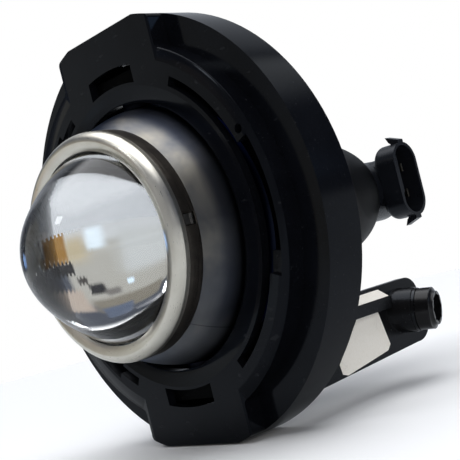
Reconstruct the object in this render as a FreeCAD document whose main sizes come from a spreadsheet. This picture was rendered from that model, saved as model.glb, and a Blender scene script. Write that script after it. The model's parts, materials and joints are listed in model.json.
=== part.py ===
import FreeCAD, Part
import math
import os
import Sketcher

# A round fog light: an outer housing that carries a swinging projector, its bulb and an aim
# adjuster. Millimetres. The origin is the centre of the plate's raised front face, +Y runs to the
# rear along the lamp's axis, +Z is up and the swing axis is parallel to Z.

SIZES = {
    # outer housing
    "plate_radius": 51.9,
    "rim_radius": 60.0,
    "ear_flat": 58.0,
    "ear_half": 21.5,
    "wall": 2.5,
    "skin": 0.8,
    "lip": 2.0,
    "ear_round": 1.6,
    "flange_depth": 5.2,
    "drum_depth": 22.0,
    "rear_edge": 15.05,
    "rear_slope": 2.1,
    "rear_dip": 0.44,
    "opening_radius": 37.1,
    "window_half": 9.9,
    "window_inner": 42.5,
    "window_outer": 47.4,
    "slot_inner": 42.9,
    "slot_outer": 45.5,
    "right_sweep": 58.0,
    "right_wide_sweep": 21.0,
    "right_wide_outer": 49.3,
    "ledge_sweep": 7.0,
    "ledge_step": 1.1,
    "left_sweep": 61.0,
    "left_wide_sweep": 51.0,
    "left_wide_inner": 41.5,
    "left_wide_outer": 47.3,
    "pin_hole_radius": 1.2,
    "pin_hole_side": 43.9,
    "pin_hole_height": 19.4,
    # pivots
    "pivot_depth": 8.5,
    "rest_swing": 3.42,
    "pin_radius": 2.5,
    "running_gap": 0.05,
    "part_gap": 0.3,
    "bush_wall": 1.45,
    "bracket_bottom": 40.8,
    "bracket_height": 5.0,
    "bracket_half": 8.0,
    "bracket_back": 13.5,
    "tab_reach": 17.0,
    "tab_thickness": 2.5,
    "small_screw": 1.1,
    "arm_screw": 1.4,
    "bowl_screw": 1.0,
    "rivet": 0.8,
    "post_radius": 2.2,
    "post_ring": 53.7,
    "post_angle": 20.0,
    "ring_depth": 10.6,
    "ring_thickness": 1.6,
    "ring_opening": 37.4,
    "ring_edge": 57.2,
    # projector shells
    "bowl_radius": 36.3,
    "bowl_wall": 2.0,
    "bowl_front": -11.0,
    "bowl_back": 13.0,
    "ledge_front": 6.5,
    "ledge_back": 10.5,
    "ledge_inner": 30.2,
    "boss_radius": 5.0,
    "boss_top": 38.8,
    "band_radius": 30.6,
    "ring_back": -15.5,
    "ring_front": -18.9,
    "ring_inner": 25.7,
    "sheet_metal": 0.9,
    "lens_radius": 25.4,
    "lens_base": -18.0,
    "lens_apex": -38.4,
    "lens_back": -15.8,
    "lens_rim": 27.2,
    "lens_nose": 21.0,
    "dome_centre": 76.7,
    "dome_radius": 18.5,
    "dome_shoulder": 26.0,
    "shoulder_depth": 24.0,
    "dome_flange": 33.6,
    "dome_wall": 2.0,
    "tail_end": 92.9,
    "tail_radius": 10.4,
    "tail_bore": 8.3,
    # bulb
    "plug_depth": 103.0,
    "plug_mouth": 17.5,
    "plug_back": 8.6,
    "plug_half_width": 6.6,
    "plug_half_height": 12.6,
    "plug_wall": 1.1,
    "plug_floor": 1.3,
    "plug_lift": 1.0,
    "hook_half": 1.5,
    "neck_end": 108.5,
    "glass_radius": 5.2,
    # arm and adjuster
    "arm_side": 32.0,
    "arm_thickness": 3.0,
    "arm_top": 28.3,
    "arm_bottom": 47.0,
    "arm_end": 68.8,
    "arm_foot": 2.5,
    "rib_reach": 3.4,
    "rib_drop": 6.6,
    "rib_end": 50.0,
    "adjuster_depth": 58.1,
    "adjuster_drop": 37.2,
    "adjuster_yaw": 21.1,
    "adjuster_pitch": 6.4,
    "adjuster_radius": 6.0,
    "adjuster_end": 10.5,
    "recess_radius": 3.9,
    "collar_radius": 6.5,
    "bush_radius": 5.0,
    "journal_radius": 3.5,
    "thread_radius": 2.5,
    "nut_reach": 48.0,
    "nut_radius": 4.5,
    "nut_height": 7.0,
    "fork_gap": 0.3,
    "web_gap": 0.6,
    "fork_sheet": 2.0,
}

V = FreeCAD.Vector
X, Y, Z = V(1, 0, 0), V(0, 1, 0), V(0, 0, 1)


class Size:
    """A length that knows its value and the sheet formula behind it."""

    def __init__(self, value, text):
        self.value = float(value)
        self.text = text

    @staticmethod
    def of(number):
        return number if isinstance(number, Size) else Size(number, "(%.6f)" % number)

    def join(self, other, sign, value):
        return Size(value, "(%s %s %s)" % (self.text, sign, Size.of(other).text))

    def __add__(self, other):
        return self.join(other, "+", self.value + Size.of(other).value)

    def __sub__(self, other):
        return self.join(other, "-", self.value - Size.of(other).value)

    def __mul__(self, other):
        return self.join(other, "*", self.value * Size.of(other).value)

    def __truediv__(self, other):
        return self.join(other, "/", self.value / Size.of(other).value)

    def __neg__(self):
        return Size(0, "0") - self

    def __radd__(self, other):
        return Size.of(other) + self

    def __rsub__(self, other):
        return Size.of(other) - self

    def __rmul__(self, other):
        return Size.of(other) * self


def root(size):
    return Size(math.sqrt(size.value), "sqrt(%s)" % size.text)


def leg(long_side, short_side):
    """The third side of a right triangle with this longest side."""
    return root(long_side * long_side - short_side * short_side)


def polar(radius, degrees):
    """The point at this radius and angle."""
    angle = Size.of(degrees)
    turn = math.radians(angle.value)
    return (
        radius * Size(math.cos(turn), "cos(%s)" % angle.text),
        radius * Size(math.sin(turn), "sin(%s)" % angle.text),
    )


doc = FreeCAD.newDocument("fog_light")
sheet = doc.addObject("Spreadsheet::Sheet", "Sizes")
for row, (name, number) in enumerate(SIZES.items(), 1):
    sheet.set("A%d" % row, name)
    sheet.set("B%d" % row, str(number))
    sheet.setAlias("B%d" % row, name)
doc.recompute()


def size(name):
    return Size(SIZES[name], "Sizes." + name)


def bind(thing, path, length):
    thing.setExpression(path, Size.of(length).text)


# ---------------------------------------------------------------- building blocks

CLEAR = 10
NEAR = 0.1
ALONG_X = FreeCAD.Rotation(Y, 90)


def shift(across, along, up):
    """A placement that only moves."""
    return FreeCAD.Placement(V(across, along, up), FreeCAD.Rotation())


def arc_edge(start, end, radius):
    """The short arc from start to end: a positive radius turns left, a negative one right."""
    p = V(Size.of(start[0]).value, Size.of(start[1]).value)
    q = V(Size.of(end[0]).value, Size.of(end[1]).value)
    bend = Size.of(radius).value
    chord = q - p
    side = V(-chord.y, chord.x).normalize() * math.copysign(1, bend)
    centre = (p + q) * 0.5 + side * math.sqrt(bend**2 - chord.Length**2 / 4)
    bulge = (p + q) * 0.5 - centre
    middle = centre + bulge.normalize() * abs(bend)
    return Part.Arc(p, middle, q)


def draw(sketch, points, bends=None):
    """Draws a closed outline. bends[i] is the signed radius of the side after point i."""
    bends = bends or {}
    count = len(points)
    starts = []
    for i, point in enumerate(points):
        following = points[(i + 1) % count]
        if i in bends:
            edge = sketch.addGeometry(arc_edge(point, following, bends[i]))
            reverse = Size.of(bends[i]).value < 0
            tips = (2, 1) if reverse else (1, 2)
            rule = sketch.addConstraint(
                Sketcher.Constraint("Radius", edge, abs(Size.of(bends[i]).value)))
            bind(sketch, "Constraints[%d]" % rule, -bends[i] if reverse else bends[i])
        else:
            ends = [V(Size.of(p[0]).value, Size.of(p[1]).value) for p in (point, following)]
            edge = sketch.addGeometry(Part.LineSegment(*ends))
            tips = (1, 2)
        starts.append((edge, tips))
    for i, point in enumerate(points):
        edge, tips = starts[i]
        before, before_tips = starts[i - 1]
        for kind, length in zip(("DistanceX", "DistanceY"), point):
            length = Size.of(length)
            rule = sketch.addConstraint(
                Sketcher.Constraint(kind, -1, 1, edge, tips[0], length.value))
            bind(sketch, "Constraints[%d]" % rule, length)
        sketch.addConstraint(
            Sketcher.Constraint("Coincident", before, before_tips[1], edge, tips[0]))


def ring(sketch, radius, centre=(0, 0)):
    """Draws a circle."""
    middle = V(Size.of(centre[0]).value, Size.of(centre[1]).value)
    edge = sketch.addGeometry(Part.Circle(middle, Z, Size.of(radius).value))
    rule = sketch.addConstraint(Sketcher.Constraint("Radius", edge, Size.of(radius).value))
    bind(sketch, "Constraints[%d]" % rule, radius)
    for kind, length in zip(("DistanceX", "DistanceY"), centre):
        length = Size.of(length)
        rule = sketch.addConstraint(Sketcher.Constraint(kind, -1, 1, edge, 3, length.value))
        bind(sketch, "Constraints[%d]" % rule, length)


class Piece:
    """One sub-part: a body whose features are added in order."""

    def __init__(self, name, frame=None):
        self.body = doc.addObject("PartDesign::Body", name)
        self.body.Label = name
        self.body.AllowCompound = True
        if frame:
            self.body.Placement = frame
        PIECES.append(self.body)

    def sketch(self, plane, level=0):
        """A sketch on one of the body's own planes, raised along +X, +Y or +Z."""
        drawing = self.body.newObject("Sketcher::SketchObject", "Outline")
        planes = {item.Role: item for item in self.body.Origin.OriginFeatures}
        drawing.AttachmentSupport = [(planes[plane + "_Plane"], "")]
        drawing.MapMode = "FlatFace"
        level = Size.of(level)
        bind(drawing, "AttachmentOffset.Base.z", -level if plane == "XZ" else level)
        return drawing

    def feature(self, kind, drawing, length, reverse):
        item = self.body.newObject("PartDesign::" + kind, kind)
        item.Profile = drawing
        bind(item, "Length", length)
        item.Reversed = reverse
        doc.recompute()
        return item

    def pad(self, plane, low, high, painter):
        """Adds material between two levels along the plane's own axis."""
        drawing = self.sketch(plane, low)
        painter(drawing)
        return self.feature("Pad", drawing, high - low, plane == "XZ")

    def pocket(self, plane, low, high, painter):
        """Removes material between two levels along the plane's own axis."""
        drawing = self.sketch(plane, low)
        painter(drawing)
        before = self.body.Shape.Volume
        item = self.feature("Pocket", drawing, high - low, plane != "XZ")
        if self.body.Shape.Volume >= before:
            raise ValueError("a pocket in %s cuts nothing" % self.body.Label)
        return item

    def turn(self, points, bends=None, kind="Revolution"):
        """Revolves a profile of (radius, depth) points about the lamp's axis."""
        drawing = self.sketch("XY")
        draw(drawing, points, bends)
        item = self.body.newObject("PartDesign::" + kind, kind)
        item.Profile = drawing
        item.ReferenceAxis = (drawing, ["V_Axis"])
        item.Angle = 360
        doc.recompute()
        return item

    def spin(self, points, bends=None, kind="Revolution"):
        """Revolves a profile of (depth, radius) points about the body's X axis."""
        drawing = self.sketch("XY")
        draw(drawing, points, bends)
        item = self.body.newObject("PartDesign::" + kind, kind)
        item.Profile = drawing
        item.ReferenceAxis = (drawing, ["H_Axis"])
        item.Angle = 360
        doc.recompute()
        return item

    def soften(self, radius, wanted):
        """Rounds the edges of the body so far whose bounding box passes the test."""
        tip = self.body.Tip
        edges = ["Edge%d" % i for i, edge in enumerate(tip.Shape.Edges, 1) if wanted(edge.BoundBox)]
        if not edges:
            raise ValueError("no edge to round in %s" % self.body.Label)
        item = self.body.newObject("PartDesign::Fillet", "Soft")
        item.Base = (tip, edges)
        bind(item, "Radius", radius)
        doc.recompute()
        return item


PIECES = []


def box_outline(low, high):
    """A painter for a rectangle between two corners."""
    return lambda drawing: draw(drawing, [low, (high[0], low[1]), high, (low[0], high[1])])


def circle_outline(radius, centre=(0, 0)):
    return lambda drawing: ring(drawing, radius, centre)


def outline(points, bends=None):
    return lambda drawing: draw(drawing, points, bends)


def stadium(centre, half_width, half_height):
    """A painter for an upright slot shape with round ends."""
    across, up = centre
    straight = half_height - half_width
    points = [(across + half_width, up - straight), (across + half_width, up + straight),
              (across, up + half_height), (across - half_width, up + straight),
              (across - half_width, up - straight), (across, up - half_height)]
    return outline(points, {1: half_width, 2: half_width, 4: half_width, 5: half_width})


def tube(piece, low, high, inner, outer):
    """A plain ring about the lamp's axis."""
    return piece.turn([(inner, low), (outer, low), (outer, high), (inner, high)])


# ---------------------------------------------------------------- outer housing


def rim_outline(radius, flat):
    """A painter for the trimmed circle, drawn with quarter-turn arcs."""
    half = leg(radius, flat)
    points = [(half, -flat), (radius, 0), (half, flat), (-half, flat), (-radius, 0), (-half, -flat)]
    return outline(points, {0: radius, 1: radius, 3: radius, 4: radius})


def face_outline(drawing):
    """The raised face: a disc with an ear at the top and the bottom."""
    disc, rim = size("plate_radius"), size("rim_radius")
    flat, ear = size("ear_flat"), size("ear_half")
    foot, shoulder, tip = leg(disc, ear), leg(rim, ear), leg(rim, flat)
    points = [(disc, 0), (ear, foot), (ear, shoulder), (tip, flat), (-tip, flat)]
    points += [(-ear, shoulder), (-ear, foot), (-disc, 0), (-ear, -foot), (-ear, -shoulder)]
    points += [(-tip, -flat), (tip, -flat), (ear, -shoulder), (ear, -foot)]
    bends = {0: disc, 2: rim, 4: rim, 6: disc, 7: disc, 9: rim, 11: rim, 13: disc}
    draw(drawing, points, bends)


def sector(inner, outer, half_angle, middle):
    """A painter for a curved slot about the lamp's axis."""
    mid = Size.of(middle)
    start, end = mid - half_angle, mid + half_angle
    points = [polar(inner, end), polar(inner, mid), polar(inner, start)]
    points += [polar(outer, start), polar(outer, mid), polar(outer, end)]
    return outline(points, {0: -inner, 1: -inner, 3: outer, 4: outer})


def window(drawing, side):
    """A window between two arcs, cut off straight at both ends."""
    half, inner, outer = size("window_half"), size("window_inner"), size("window_outer")
    low, high = leg(inner, half), leg(outer, half)
    points = [(-half, side * low), (half, side * low), (half, side * high), (-half, side * high)]
    draw(drawing, points, {0: -side * inner, 2: side * outer})


def ear_hollow(drawing, side):
    """The hollow behind an ear."""
    wall = size("wall")
    half = size("ear_half") - wall
    inner, outer = size("plate_radius"), size("rim_radius") - wall
    flat = size("ear_flat") - wall
    tip = leg(outer, flat)
    low, high = leg(inner, half), leg(outer, half)
    points = [(-half, side * low), (half, side * low), (half, side * high), (tip, side * flat)]
    points += [(-tip, side * flat), (-half, side * high)]
    draw(drawing, points, {0: -side * inner, 2: side * outer, 4: side * outer})


def trim_rear(piece):
    """Cuts the drum off along its rear edge, which slants in both directions."""
    reach = SIZES["rim_radius"] + CLEAR
    tilt = FreeCAD.Rotation(Z, SIZES["rear_slope"]) * FreeCAD.Rotation(X, SIZES["rear_dip"])
    cut = piece.body.newObject("PartDesign::SubtractiveBox", "RearTrim")
    cut.Length = cut.Height = 2 * reach
    bind(cut, "Width", size("drum_depth"))
    cut.Placement = FreeCAD.Placement(V(0, SIZES["rear_edge"], 0), tilt) * shift(-reach, 0, -reach)
    doc.recompute()


def outer_housing():
    piece = Piece("outer_housing")
    wall, rim, flat = size("wall"), size("rim_radius"), size("ear_flat")
    disc, flange = size("plate_radius"), size("flange_depth")
    depth = size("drum_depth")
    back = flange + wall
    piece.pad("XZ", 0, flange, face_outline)
    corners = [leg(disc, size("ear_half")).value, leg(rim, size("ear_half")).value]
    piece.soften(size("ear_round"), lambda box: box.DiagonalLength < flange.value + NEAR and any(
        abs(abs(box.ZMin) - corner) < NEAR for corner in corners))
    piece.pad("XZ", flange, depth, rim_outline(rim, flat))
    piece.pocket("XZ", back, depth, rim_outline(rim - wall, flat - wall))
    piece.pocket("XZ", wall, back, circle_outline(disc - size("lip")))
    for side in (1, -1):
        piece.pocket("XZ", wall, back, lambda drawing: ear_hollow(drawing, side))
        piece.pocket("XZ", 0, wall, lambda drawing: window(drawing, side))
    piece.pocket("XZ", 0, wall, circle_outline(size("opening_radius")))
    slot_in, slot_out = size("slot_inner"), size("slot_outer")
    piece.pocket("XZ", 0, wall, sector(slot_in, slot_out, size("right_sweep"), 0))
    wide, ledge = size("right_wide_sweep"), size("ledge_sweep")
    piece.pocket("XZ", 0, size("ledge_step"), sector(slot_in, size("right_wide_outer"), wide, 0))
    piece.pocket("XZ", 0, wall,
                 sector(slot_in, size("right_wide_outer"), wide - ledge / 2, ledge / 2))
    piece.pocket("XZ", 0, wall, sector(slot_in, slot_out, size("left_sweep"), 180))
    piece.pocket("XZ", 0, wall, sector(size("left_wide_inner"), size("left_wide_outer"),
                                       size("left_wide_sweep"), 180))
    hole = (size("pin_hole_side"), size("pin_hole_height"))
    piece.pocket("XZ", 0, wall, circle_outline(size("pin_hole_radius"), hole))
    for spot in bracket_screw_spots():
        piece.pocket("XZ", size("skin"), wall, circle_outline(size("small_screw"), spot))
    for spot in ARM_SCREW_SPOTS:
        piece.pocket("XZ", flange + size("skin"), back, circle_outline(size("arm_screw"), spot))
    for spot in post_spots():
        piece.pad("XZ", back, size("ring_depth"), circle_outline(size("post_radius"), spot))
        piece.pocket("XZ", back + size("skin"), size("ring_depth"),
                     circle_outline(size("small_screw"), spot))
    trim_rear(piece)


# ---------------------------------------------------------------- pivots

ARM_SCREW_SPOTS = [(38.2, -35.4), (43.2, -32.0)]


def bracket_screw_spots():
    side = (size("bracket_half") + size("tab_reach")) / 2
    height = size("bracket_bottom") + size("bracket_height") / 2
    return [(side * a, height * b) for a in (1, -1) for b in (1, -1)]


def post_spots():
    """Where the back ring's four posts stand."""
    tilt = size("post_angle")
    return [polar(size("post_ring"), turn) for turn in (tilt, 180 - tilt, 180 + tilt, -tilt)]


def back_ring():
    """A dark ring that closes the drum behind the slots and windows."""
    piece = Piece("back_ring")
    low, high = size("ring_depth"), size("ring_depth") + size("ring_thickness")
    play, side = size("part_gap"), size("arm_side")
    flat = size("ear_flat") - size("wall") - play
    piece.pad("XZ", low, high, rim_outline(size("ring_edge"), flat))
    piece.pocket("XZ", low, high, circle_outline(size("ring_opening")))
    half = size("bracket_half") + 2 * play
    top = size("bracket_bottom") + size("bracket_height") + 3 * play
    edge = size("ring_opening") - size("lip")
    for notch in ((-half, edge), (half, top)), ((-half, -top), (half, -edge)):
        piece.pocket("XZ", low, high, box_outline(*notch))
    arm = (side - size("arm_thickness") - 2 * play, -size("arm_bottom") - 3 * play)
    piece.pocket("XZ", low, high,
                 box_outline(arm, (side + size("rib_reach") + 2 * play, 2 * play - size("arm_top"))))
    for spot in ARM_SCREW_SPOTS:
        piece.pocket("XZ", low, high, circle_outline(2 * size("arm_screw"), spot))
    for spot in post_spots():
        piece.pocket("XZ", low, high, circle_outline(size("small_screw"), spot))
    for middle in (0, 180):
        for radius in (45, 50):
            rib = sector(Size.of(radius - 0.6), Size.of(radius + 0.6), Size.of(32), middle)
            piece.pad("XZ", low - 1.2, low, rib)


def pivot_bracket(name, side):
    piece = Piece(name)
    wall, half, reach = size("wall"), size("bracket_half"), size("tab_reach")
    bottom = size("bracket_bottom") * side
    top = (size("bracket_bottom") + size("bracket_height")) * side
    piece.pad("XZ", wall, size("bracket_back"), box_outline((-half, bottom), (half, top)))
    piece.pad("XZ", wall, wall + size("tab_thickness"), box_outline((-reach, bottom), (reach, top)))
    low, high = (bottom, top) if side > 0 else (top, bottom)
    bush = size("pin_radius") + size("running_gap") + size("bush_wall")
    piece.pocket("XY", low, high, circle_outline(bush, (0, size("pivot_depth"))))
    for spot in bracket_screw_spots():
        if spot[1].value * side > 0:
            piece.pocket("XZ", wall, wall + size("tab_thickness"),
                         circle_outline(size("small_screw"), spot))


def screws(name, spots, radius, head, tip, seat, frame=None, cap=1.5):
    """Pan-head screws along +Y: tip in front, head behind the seat."""
    piece = Piece(name, frame)
    for spot in spots:
        piece.pad("XZ", tip, seat, circle_outline(radius, spot))
        piece.pad("XZ", seat, seat + cap, circle_outline(head, spot))
        piece.pocket("XZ", seat + cap - 0.7, seat + cap, circle_outline(radius * 0.8, spot))
    return piece


def pivot_bushes():
    piece = Piece("pivot_bushes")
    inner = size("pin_radius") + size("running_gap")
    outer = inner + size("bush_wall")
    centre = (0, size("pivot_depth"))
    base, top = size("bracket_bottom"), size("bracket_bottom") + size("bracket_height")
    for side in (1, -1):
        low, high = (base, top) if side > 0 else (-top, -base)
        piece.pad("XY", low, high, circle_outline(outer, centre))
        edge = (base - 0.8, base) if side > 0 else (-base, 0.8 - base)
        piece.pad("XY", *edge, circle_outline(outer + 1, centre))
        ends = (base - 0.8, top) if side > 0 else (-top, 0.8 - base)
        piece.pocket("XY", *ends, circle_outline(inner, centre))


def pivot_pins(frame):
    piece = Piece("pivot_pins", frame)
    centre = (0, size("pivot_depth"))
    inner = size("bowl_radius") - size("bowl_wall") + 0.1
    outer = size("bracket_bottom") + size("bracket_height") + 0.7
    piece.pad("XY", inner, outer, circle_outline(size("pin_radius"), centre))
    piece.pad("XY", -outer, -inner, circle_outline(size("pin_radius"), centre))


# ---------------------------------------------------------------- projector

BOWL_SCREWS = [(22.5, 22.5), (22.5, -22.5), (-22.5, 22.5), (-22.5, -22.5)]
RIVETS = [(27.8, -16.5), (-27.8, -16.5), (0, -32.2)]


def bowl_shell(frame):
    piece = Piece("bowl_shell", frame)
    outer, wall, pivot = size("bowl_radius"), size("bowl_wall"), size("pivot_depth")
    inner = outer - wall
    front, back = size("bowl_front"), size("bowl_back")
    rise, fall = pivot - front, back - pivot
    piece.turn([(0, front), (leg(outer, rise), front), (leg(outer, fall), back), (0, back)],
               {1: outer})
    boss = (0, pivot)
    top = size("boss_top")
    low = inner + 0.5
    piece.pad("XY", low, top, circle_outline(size("boss_radius"), boss))
    piece.pad("XY", -top, -low, circle_outline(size("boss_radius"), boss))
    ledge_front, ledge_back = size("ledge_front"), size("ledge_back")
    ledge = size("ledge_inner")
    step = leg(inner, pivot - ledge_front)
    piece.turn([(0, front), (leg(inner, rise), front), (step, ledge_front), (ledge, ledge_front),
                (ledge, ledge_back), (leg(inner, fall), ledge_back), (leg(inner, fall), back),
                (0, back)], {1: inner}, "Groove")
    piece.pocket("XY", inner - 1, top, circle_outline(size("pin_radius"), boss))
    piece.pocket("XY", -top, 1 - inner, circle_outline(size("pin_radius"), boss))
    for spot in BOWL_SCREWS:
        piece.pocket("XZ", ledge_back - 3, ledge_back, circle_outline(size("bowl_screw"), spot))
    for spot in RIVETS:
        piece.pocket("XZ", ledge_front, ledge_front + 2, circle_outline(size("rivet"), spot))


def lens_holder(frame):
    piece = Piece("lens_holder", frame)
    outer, sheet_metal = size("band_radius"), size("sheet_metal")
    step, seat = size("ring_back"), size("lens_back")
    back = size("bowl_front")
    inner = size("lens_rim") + 0.3
    front = size("lens_base") + 0.3
    skirt = outer - sheet_metal
    piece.turn([(skirt, front), (skirt, step), (outer, step), (outer, back), (inner + 0.4, back),
                (inner + 0.4, back + 5), (inner - 2, back + 5), (inner - 2, seat + 0.6),
                (inner, seat + 0.6), (inner, front)])
    piece.pocket("XY", -0.3, 3, lambda drawing: draw(drawing, [
        (outer + 2, step + 0.4), (outer - 1.5, step + 0.4), (outer - 1.5, back - 0.4),
        (outer + 2, back - 0.4)]))
    piece.pocket("XY", -5.2, -4.9, lambda drawing: draw(drawing, [
        (outer + 2, back - 2), (outer - 0.8, back - 2), (outer - 0.8, back),
        (outer + 2, back)]))


def lens_clip(frame):
    """The bent tongue in the lens holder's window."""
    piece = Piece("lens_clip", frame)
    outer = size("band_radius")
    step, back = size("ring_back"), size("bowl_front")
    piece.pad("XY", 0, 2.7, lambda drawing: draw(drawing, [
        (outer - 0.7, step + 0.8), (outer - 1.4, step + 0.8), (outer - 1.4, back - 0.8),
        (outer - 0.3, back - 0.8), (outer - 0.3, back - 1.5), (outer - 0.7, back - 1.5)]))


def lens_profile():
    """The lens's outline as (radius, depth) points with a nose arc and a flank arc."""
    base, apex = size("lens_base"), size("lens_apex")
    radius, nose, lean = size("lens_radius"), size("lens_nose"), 45
    centre = apex + nose
    aside, ahead = polar(nose, lean)
    drop = base - centre
    flank = (radius * radius + drop * drop - nose * nose) / (
        2 * (nose - (radius * aside - drop * ahead) / nose)) + nose
    rim, back = size("lens_rim"), size("lens_back")
    points = [(0, back), (rim, back), (rim, base), (radius, base), (aside, centre - ahead),
              (0, apex)]
    return points, {3: -flank, 4: -nose}


def lens(frame):
    piece = Piece("lens", frame)
    points, bends = lens_profile()
    piece.turn(points, bends)


def lens_seal(frame):
    """A thin gasket between the lens's back and its seat."""
    piece = Piece("lens_seal", frame)
    seat = size("lens_back")
    tube(piece, seat, seat + 0.6, size("lens_rim") - 1.6, size("lens_rim"))


def lens_ring(frame):
    """A rolled ring: a skirt over the holder, a round nose and a turned-in inner edge."""
    piece = Piece("lens_ring", frame)
    outer, inner = size("band_radius"), size("ring_inner")
    step, base, front = size("ring_back"), size("lens_base"), size("ring_front")
    skin = size("sheet_metal")
    crest = (outer - 2.4, front - 0.5)
    piece.turn([(outer - skin, step), (outer, step), (outer, base + 1.2), crest,
                (inner, front + 0.4), (inner, base), (outer - skin - 0.8, base),
                (outer - skin, base + 0.3)], {2: -3.0, 3: -5.5})


def cutoff_shield(frame):
    """The half disc that gives the beam its level top."""
    piece = Piece("cutoff_shield", frame)
    radius, front = size("ledge_inner") + 3.3, size("ledge_front")
    deep = leg(radius, 1)
    piece.pad("XZ", front - 0.8, front, outline(
        [(deep, -1), (4, -1), (2, 1), (-2, 1), (-4, -1), (-deep, -1), (0, -radius)],
        {5: radius, 6: radius}))
    for spot in RIVETS:
        piece.pocket("XZ", front - 0.8, front, circle_outline(size("rivet"), spot))


def shield_rivets(frame):
    piece = Piece("shield_rivets", frame)
    front = size("ledge_front")
    for spot in RIVETS:
        piece.pad("XZ", front - 0.8, front + 2, circle_outline(size("rivet"), spot))
        piece.pad("XZ", front - 1.5, front - 0.8, circle_outline(1.5, spot))


def shell_corners(skin):
    """Corners and bends of the rear dome, moved inwards by a skin thickness."""
    centre, nose = size("dome_centre"), size("dome_radius") - skin
    shoulder, depth = size("dome_shoulder") - skin, size("shoulder_depth")
    aside, ahead = polar(nose, 20)
    drop = centre - depth
    slack = shoulder * aside - drop * ahead
    flank = (shoulder * shoulder + drop * drop - nose * nose) / (
        2 * (nose - slack / nose)) + nose
    return (shoulder, depth), (aside, centre + ahead), flank, nose, centre


def rear_housing(frame):
    piece = Piece("rear_housing", frame)
    start, end = size("ledge_back") + 1.2, size("ledge_back") + 3.2
    flange, tail, bore = size("dome_flange"), size("tail_radius"), size("tail_bore")
    shoulder, knee, flank, nose, centre = shell_corners(0)
    edge = (tail, centre + leg(nose, tail))
    finish = size("tail_end")
    neck = size("dome_shoulder") + 2
    piece.turn([(0, start), (flange, start), (flange, end), (neck, end), shoulder, knee, edge,
                (tail, finish), (0, finish)], {4: flank, 5: nose})
    lug = piece.body.newObject("PartDesign::AdditiveBox", "Lug")
    lug.Length, lug.Width, lug.Height = 9, 10, 6
    lug.Placement = FORK * shift(-4.5, -5, FORK_TOP)
    doc.recompute()
    hole = piece.body.newObject("PartDesign::SubtractiveCylinder", "Hole")
    hole.Radius, hole.Height = 1.0, FORK_SCREW
    hole.Placement = FORK * shift(0, 0, FORK_TOP)
    doc.recompute()
    shoulder, knee, flank, nose, centre = shell_corners(size("dome_wall"))
    edge = (bore, centre + leg(nose, bore))
    piece.turn([(0, start), (neck - 1.6, start), (neck - 1.6, end - 0.6), shoulder, knee, edge,
                (bore, finish), (0, finish)], {3: flank, 4: nose}, "Groove")
    for spot in BOWL_SCREWS:
        piece.pocket("XZ", start, end, circle_outline(size("bowl_screw"), spot))


def reflector(frame):
    piece = Piece("reflector", frame)
    start = size("ledge_back")
    end = start + 1.2
    mouth = size("dome_shoulder")
    corners = []
    for skin in (size("dome_wall") + 0.5, size("dome_wall") + 1.5):
        shoulder, knee, flank, nose, centre = shell_corners(skin)
        hole = Size.of(10.4)
        corners.append((shoulder, knee, flank, nose, (hole, centre + leg(nose, hole))))
    outside, inside = corners
    piece.turn([(size("ledge_inner") + 3.2, start), (size("ledge_inner") + 3.2, end),
                (mouth, end), outside[0], outside[1], outside[4], inside[4], inside[1], inside[0],
                (mouth - 1.2, start)],
               {3: outside[2], 4: outside[3], 6: -inside[3], 7: -inside[2]})
    for spot in BOWL_SCREWS:
        piece.pocket("XZ", start, end, circle_outline(size("bowl_screw"), spot))


def adjuster_fork():
    """An inverted U that straddles the adjuster's nut."""
    piece = Piece("adjuster_fork", PROJECTOR * FORK)
    gap = size("nut_radius") + size("fork_gap") / 2
    floor, web = -size("nut_height") / 2, size("nut_height") / 2 + size("web_gap")
    sheet_metal = size("fork_sheet")
    outer, top = gap + sheet_metal, web + sheet_metal
    piece.pad("XZ", -4.5, 4.5, outline([
        (outer, floor), (outer, top), (-outer, top), (-outer, floor), (-gap, floor), (-gap, web),
        (gap, web), (gap, floor)]))
    slot = size("thread_radius") + 1.1
    piece.pocket("YZ", -outer - 1, outer + 1, box_outline((-slot, floor - 1), (slot, slot)))
    piece.pocket("XY", web, top, circle_outline(1.0))


def fork_screw():
    piece = Piece("fork_screw", PROJECTOR * FORK)
    web = size("nut_height") / 2 + size("web_gap")
    piece.pad("XY", web, web + size("fork_sheet") + FORK_SCREW, circle_outline(1.0))


# ---------------------------------------------------------------- bulb


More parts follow.
